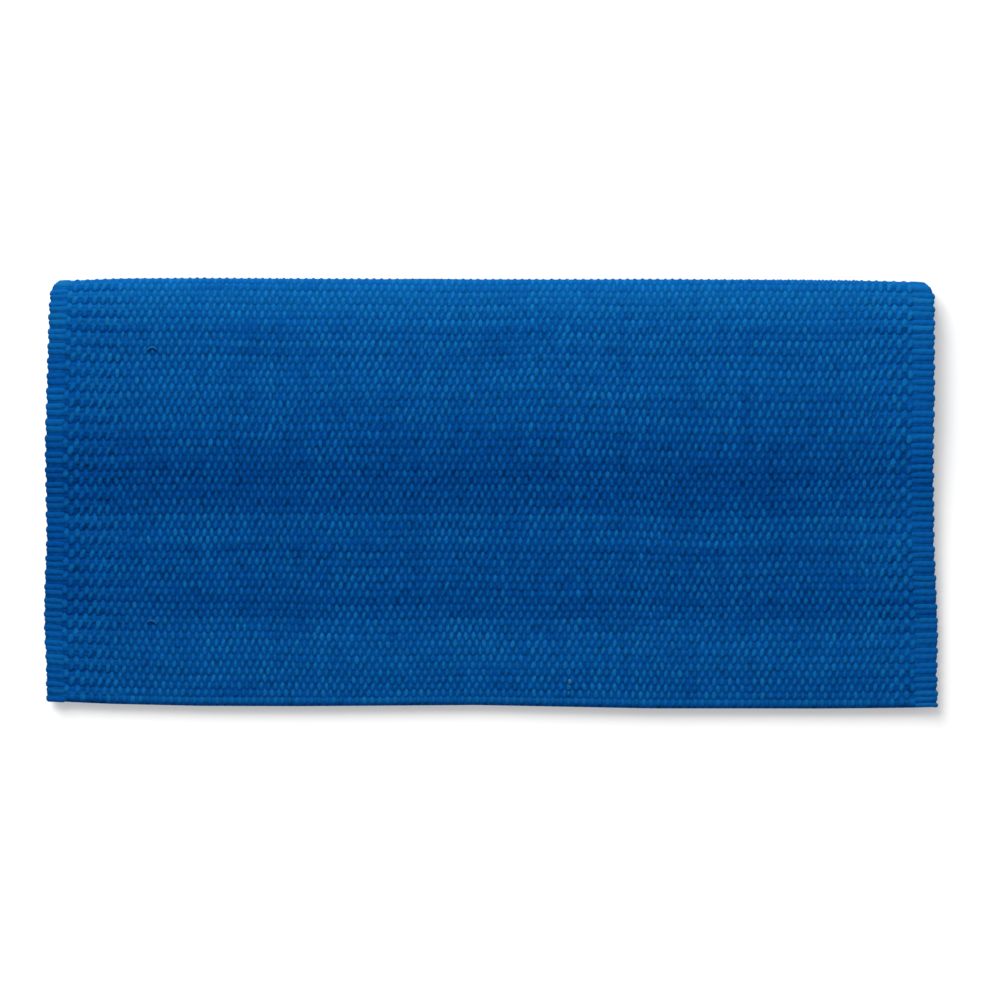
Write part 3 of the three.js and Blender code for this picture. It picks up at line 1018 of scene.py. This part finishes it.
def wool_material(name, settings, relief, dyes_and_hollow_shade):
    """Matt spun wool with a soft sheen of fibres, dyed, given painted shade in its hollows and twisted by the
    shared groups.
    """
    material = bpy.data.materials.new(name)
    material.use_nodes = True
    tree = material.node_tree
    shader = tree.nodes["Principled BSDF"]
    ply_depth, fibre_depth, turns = relief
    twist = tree.nodes.new("ShaderNodeGroup")
    twist.node_tree = bpy.data.node_groups.get("Twisted Yarn") or twisted_yarn_group()
    set_inputs(twist, {"Turns": turns, "Ply Depth": ply_depth, "Fibre Depth": fibre_depth})
    # The dye group also paints the shade in the hollows and the greener dye of the painted light
    dye = tree.nodes.new("ShaderNodeGroup")
    dye.node_tree = bpy.data.node_groups.get("Dyed Wool And Painted Shade") or dyed_wool_and_painted_shade_group()
    set_inputs(dye, {label: (*colour, 1) for label, colour in dyes_and_hollow_shade.items()})
    tree.links.new(twist.outputs["Fibre"], dye.inputs["Fibre"])
    tree.links.new(dye.outputs["Colour"], shader.inputs["Base Color"])
    bump = tree.nodes.new("ShaderNodeBump")
    set_inputs(bump, {"Strength": 0.8, "Distance": 0.5 * MM})
    tree.links.new(twist.outputs["Height"], bump.inputs["Height"])
    tree.links.new(bump.outputs["Normal"], shader.inputs["Normal"])
    sheen_tint = (*settings.sheen_colour, 1)
    set_inputs(shader, {"Roughness": 0.9, "Specular IOR Level": 0.012, "Sheen Tint": sheen_tint})
    set_inputs(shader, {"Sheen Weight": settings.sheen, "Sheen Roughness": 0.45})
    return material


def wool(kind):
    """The finish of one kind of yarn, made once."""
    name = f"{kind}_wool"
    if name in bpy.data.materials:
        return bpy.data.materials[name]
    settings = bpy.context.scene.saddle_blanket_wool
    colours = (settings.wool_colour, settings.second_dye, settings.painted_hollow_shade)
    if kind == "loose":
        colours = (settings.fibre_colour, settings.pale_fibre, settings.fibre_colour)
    dyes_and_hollow_shade = dict(zip(("Wool Colour", "Second Dye", "Painted Hollow Shade"), colours))
    return wool_material(name, settings, YARN_RELIEF[kind], dyes_and_hollow_shade)


class SaddleBlanketCloth(bpy.types.PropertyGroup):
    """Sizes of the cloth and its yarns."""

    folded_depth: bpy.props.FloatProperty(
        name="Folded Depth", description="From the fold to the hems", default=0.44, min=0.3, unit="LENGTH"
    )
    thickness: bpy.props.FloatProperty(
        name="Thickness", description="Thickness of the wool cloth", default=0.008, min=0.004, unit="LENGTH"
    )
    float_rise: bpy.props.FloatProperty(
        name="Float Rise",
        description="From where a warp float comes out of the ground to its top",
        default=0.0026,
        min=0.001,
        unit="LENGTH",
    )
    weft_depth: bpy.props.FloatProperty(
        name="Weft Depth",
        description="How far the weft lies under the tops of the warp floats",
        default=0.0019,
        min=0.0005,
        unit="LENGTH",
    )
    float_length: bpy.props.FloatProperty(
        name="Float Length", description="Length of a warp float, in weft rows", default=1.7, min=1
    )
    float_width: bpy.props.FloatProperty(
        name="Float Width", description="Width of a warp float, in warp spacings", default=1.28, min=0.5
    )
    lean: bpy.props.FloatProperty(
        name="Lean",
        description="How far the warp floats lean, from the twist of the yarn",
        default=math.radians(3.5),
        subtype="ANGLE",
    )
    seed: bpy.props.IntProperty(
        name="Seed", description="Seed of the unevenness of the hand-made weave", default=11
    )


class SaddleBlanketWool(bpy.types.PropertyGroup):
    """Colours of the wool."""

    wool_colour: bpy.props.FloatVectorProperty(
        name="Wool Colour", description="Main dye", default=(0.001, 0.069, 0.297), subtype="COLOR"
    )
    second_dye: bpy.props.FloatVectorProperty(
        name="Second Dye",
        description="Slightly greener yarns",
        default=(0.003, 0.0935, 0.268),
        subtype="COLOR",
    )
    # Painted shade deep between the yarns
    painted_hollow_shade: bpy.props.FloatVectorProperty(
        name="Painted Hollow Shade",
        description="Deep between the yarns",
        default=(0.0003, 0.0385, 0.196),
        subtype="COLOR",
    )
    sheen_colour: bpy.props.FloatVectorProperty(
        name="Sheen Colour", description="Colour of the soft sheen", default=(0, 0.4, 0.75), subtype="COLOR"
    )
    sheen: bpy.props.FloatProperty(
        name="Sheen", description="Strength of the soft sheen of the fibres", default=0.2, min=0, max=1
    )
    fibre_colour: bpy.props.FloatVectorProperty(
        name="Fibre Colour", description="Loose fibres", default=(0.009, 0.098, 0.31), subtype="COLOR"
    )
    pale_fibre: bpy.props.FloatVectorProperty(
        name="Pale Fibre",
        description="A loose tuft of undyed wool",
        default=(0.08, 0.205, 0.34),
        subtype="COLOR",
    )


class SaddleBlanketStage(bpy.types.PropertyGroup):
    """Camera and light."""

    view_width: bpy.props.FloatProperty(
        name="View Width", description="Width that the camera sees", default=1.0297, min=0.1, unit="LENGTH"
    )
    view_turn: bpy.props.FloatProperty(
        name="View Turn",
        description="How far the blanket lies out of square in the view",
        default=math.radians(0.27),
        subtype="ANGLE",
    )
    lens: bpy.props.FloatProperty(
        name="Lens", description="Focal length in millimetres", default=150, min=20
    )
    key_power: bpy.props.FloatProperty(
        name="Key Power", description="Power of the light from the fold's side in watts", default=108, min=0
    )
    floor_power: bpy.props.FloatProperty(
        name="Floor Power", description="Power of the light on the floor in watts", default=980, min=0
    )
    sky: bpy.props.FloatProperty(
        name="Sky", description="Strength of the even light all round", default=0.53, min=0
    )


def weave_from_settings():
    """The weave on its folded cloth, from the settings."""
    return Weave(bpy.context.scene.saddle_blanket_cloth)


class SADDLEBLANKET_OT_warp_floats(bpy.types.Operator):
    """Lay the warp floats over the weft rows on both faces of the cloth"""

    bl_idname = "saddle_blanket.warp_floats"
    bl_label = "Warp Floats"

    def execute(self, context):
        weave = weave_from_settings()
        inner_picks = np.arange(1, len(weave.picks) - 1)
        warps = np.arange(len(weave.warps))
        for name, picks in zip(OUTER_FLOATS, np.array_split(inner_picks, len(OUTER_FLOATS))):
            parts = Parts()
            lay_floats(parts, weave, picks, warps, 1)
            parts.piece(name, wool("warp"))
        parts = Parts()
        lay_floats(parts, weave, inner_picks, warps[from_edge(weave.warps) < SEEN_INSIDE], -1)
        parts.piece("warp_floats_inside", wool("warp"))
        return {"FINISHED"}


class SADDLEBLANKET_OT_selvedges(bpy.types.Operator):
    """Wrap the ribs of the weft round the two selvedges"""

    bl_idname = "saddle_blanket.selvedges"
    bl_label = "Selvedges"

    def execute(self, context):
        weave = weave_from_settings()
        parts = Parts()
        for side in SIDES:
            lay_ribs(parts, weave, side)
        parts.piece("selvedge_ribs", wool("selvedge"))
        return {"FINISHED"}


class SADDLEBLANKET_OT_hems(bpy.types.Operator):
    """Wrap the warp yarns round the last weft rows of the two hems"""

    bl_idname = "saddle_blanket.hems"
    bl_label = "Hems"

    def execute(self, context):
        weave = weave_from_settings()
        parts = Parts()
        for hem in ("lower", "upper"):
            lay_hem_loops(parts, weave, hem)
        parts.piece("hem_loops", wool("warp"))
        return {"FINISHED"}


class SADDLEBLANKET_OT_loose_fibres(bpy.types.Operator):
    """Lay a few loose fibres on the upper face"""

    bl_idname = "saddle_blanket.loose_fibres"
    bl_label = "Loose Fibres"

    def execute(self, context):
        parts = Parts()
        lay_loose_fibres(parts, weave_from_settings().cloth)
        parts.piece("loose_fibres", wool("loose"))
        return {"FINISHED"}


class SADDLEBLANKET_OT_ground_cloth(bpy.types.Operator):
    bl_idname = "saddle_blanket.ground_cloth"
    bl_label = "Ground Cloth"

    def execute(self, context):
        weave = weave_from_settings()
        parts = Parts()
        lay_ground(parts, weave)
        ground = parts.piece("ground_cloth", wool("weft"))
        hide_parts(NODE)
        return {"FINISHED"}


class SADDLEBLANKET_OT_stage(bpy.types.Operator):
    """Set the floor, the light and the camera"""

    bl_idname = "saddle_blanket.stage"
    bl_label = "Stage"

    def execute(self, context):
        scene = context.scene
        stage = scene.saddle_blanket_stage
        floor = lay_floor()
        cloth = [bpy.data.objects[name] for name in (*ON_THE_GROUND_CLOTH, "ground_cloth")]
        set_light("key", *KEY_LIGHT, stage.key_power, cloth)
        set_light("floor_light", *FLOOR_LIGHT, stage.floor_power, [floor])
        scene.world = studio(stage.sky)
        aim_camera(stage)
        scene.view_settings.view_transform = "Standard"
        scene.view_settings.look = "None"
        return {"FINISHED"}


def studio(sky):
    """Even light all round, in front of a white backdrop."""
    world = bpy.data.worlds.new("studio")
    world.use_nodes = True
    tree = world.node_tree
    light = tree.nodes["Background"]
    set_inputs(light, {"Color": WHITE, "Strength": sky})
    backdrop = tree.nodes.new("ShaderNodeBackground")
    set_inputs(backdrop, {"Color": WHITE})
    seen = tree.nodes.new("ShaderNodeLightPath").outputs["Is Camera Ray"]
    either = tree.nodes.new("ShaderNodeMixShader")
    for socket, source in zip(either.inputs, (seen, light.outputs[0], backdrop.outputs[0])):
        tree.links.new(source, socket)
    tree.links.new(either.outputs[0], tree.nodes["World Output"].inputs["Surface"])
    return world


def lay_floor():
    """A plain pale floor."""
    mesh = bpy.data.meshes.new("floor")
    corners = [(-1, -1), (1, -1), (1, 1), (-1, 1)]
    mesh.from_pydata([(x * FLOOR_REACH, y * FLOOR_REACH, 0) for x, y in corners], [], [(0, 1, 2, 3)])
    material = bpy.data.materials.new("pale_floor")
    material.use_nodes = True
    shader = material.node_tree.nodes["Principled BSDF"]
    set_inputs(shader, {"Base Color": FLOOR_GREY, "Roughness": 1, "Specular IOR Level": 0})
    set_inputs(shader, {"Emission Color": WHITE, "Emission Strength": FLOOR_GLOW})
    mesh.materials.append(material)
    floor = new_object("floor", mesh)
    return floor


def set_light(name, place, size, power, lit):
    """A soft rectangular light that points at the blanket and shines on the given objects only."""
    light = bpy.data.lights.new(name, "AREA")
    light.shape = "RECTANGLE"
    light.size, light.size_y = size
    light.energy = power
    lamp = new_object(name, light)
    lamp.location = place
    lamp.rotation_euler = (-Vector(place)).to_track_quat("-Z", "Y").to_euler()
    receivers = bpy.data.collections.new(f"lit_by_{name}")
    for thing in lit:
        receivers.objects.link(thing)
    lamp.light_linking.receiver_collection = receivers


def aim_camera(stage):
    """Straight down, with the blanket where the photo has it."""
    pixel = stage.view_width / PICTURE
    camera = bpy.data.cameras.new("camera")
    camera.lens = stage.lens
    camera.clip_end = 50
    distance = stage.view_width * camera.lens / camera.sensor_width
    x, y = (PICTURE / 2 - SEEN_AT[0]) * pixel, (SEEN_AT[1] - PICTURE / 2) * pixel
    holder = new_object("camera", camera)
    holder.location = (x, y, CLOTH_HEIGHT + distance)
    holder.rotation_euler = (0, 0, stage.view_turn)
    bpy.context.scene.camera = holder


class SADDLEBLANKET_PT_panel(bpy.types.Panel):
    """The blanket's sizes, colours and steps"""

    bl_label = "Saddle Blanket"
    bl_idname = "SADDLEBLANKET_PT_panel"
    bl_space_type = "VIEW_3D"
    bl_region_type = "UI"
    bl_category = "Saddle Blanket"

    def draw(self, context):
        for settings, steps in PANEL_ROWS:
            box = self.layout.box()
            group = getattr(context.scene, settings)
            for name in group.bl_rna.properties.keys():
                if name not in ("rna_type", "name"):
                    box.prop(group, name)
            for step in steps:
                box.operator(step.bl_idname)


PIECE_STEPS = (
    SADDLEBLANKET_OT_warp_floats,
    SADDLEBLANKET_OT_selvedges,
    SADDLEBLANKET_OT_hems,
    SADDLEBLANKET_OT_loose_fibres,
    SADDLEBLANKET_OT_ground_cloth,
)
PANEL_ROWS = (
    ("saddle_blanket_cloth", PIECE_STEPS),
    ("saddle_blanket_wool", ()),
    ("saddle_blanket_stage", (SADDLEBLANKET_OT_stage,)),
)
SETTINGS = {
    "saddle_blanket_cloth": SaddleBlanketCloth,
    "saddle_blanket_wool": SaddleBlanketWool,
    "saddle_blanket_stage": SaddleBlanketStage,
}
CLASSES = (*SETTINGS.values(), *PIECE_STEPS, SADDLEBLANKET_OT_stage, SADDLEBLANKET_PT_panel)


def register():
    for cls in CLASSES:
        bpy.utils.register_class(cls)
    for name, cls in SETTINGS.items():
        setattr(bpy.types.Scene, name, bpy.props.PointerProperty(type=cls))


def unregister():
    for name in SETTINGS:
        delattr(bpy.types.Scene, name)
    for cls in reversed(CLASSES):
        bpy.utils.unregister_class(cls)


def main():
    """Makes every piece and the stage."""
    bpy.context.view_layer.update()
    register()
    bpy.ops.saddle_blanket.warp_floats()
    bpy.ops.saddle_blanket.selvedges()
    bpy.ops.saddle_blanket.hems()
    bpy.ops.saddle_blanket.loose_fibres()
    bpy.ops.saddle_blanket.ground_cloth()
    bpy.ops.saddle_blanket.stage()


if __name__ == "__main__":
    main()
